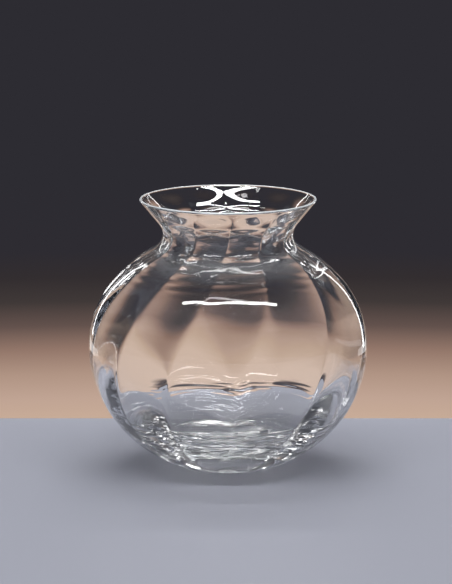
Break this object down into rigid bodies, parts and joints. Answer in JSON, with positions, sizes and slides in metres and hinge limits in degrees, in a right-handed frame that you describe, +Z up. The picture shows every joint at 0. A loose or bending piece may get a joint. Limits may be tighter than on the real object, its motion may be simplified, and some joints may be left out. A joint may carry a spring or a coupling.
{
  "type": "posy vase",
  "caption": "Small round vase of clear colourless glass with soft upright panels, a narrow neck, a flared rim and a heavy base; holds violets and other short stems.",
  "frame": {"origin": "middle of the standing ring, on the surface the vase stands on", "axes": "+Z up along the vase's axis; -Y faces the viewer of the picture, +X to that viewer's right"},
  "size_m": [0.1038, 0.1036, 0.1],
  "materials": {
    "clear_crystal": "clear colourless crystal, fire-polished, smooth and glossy"
  },
  "bodies": {
    "root": {"glass_vase": "clear_crystal"}
  },
  "joints": []
}
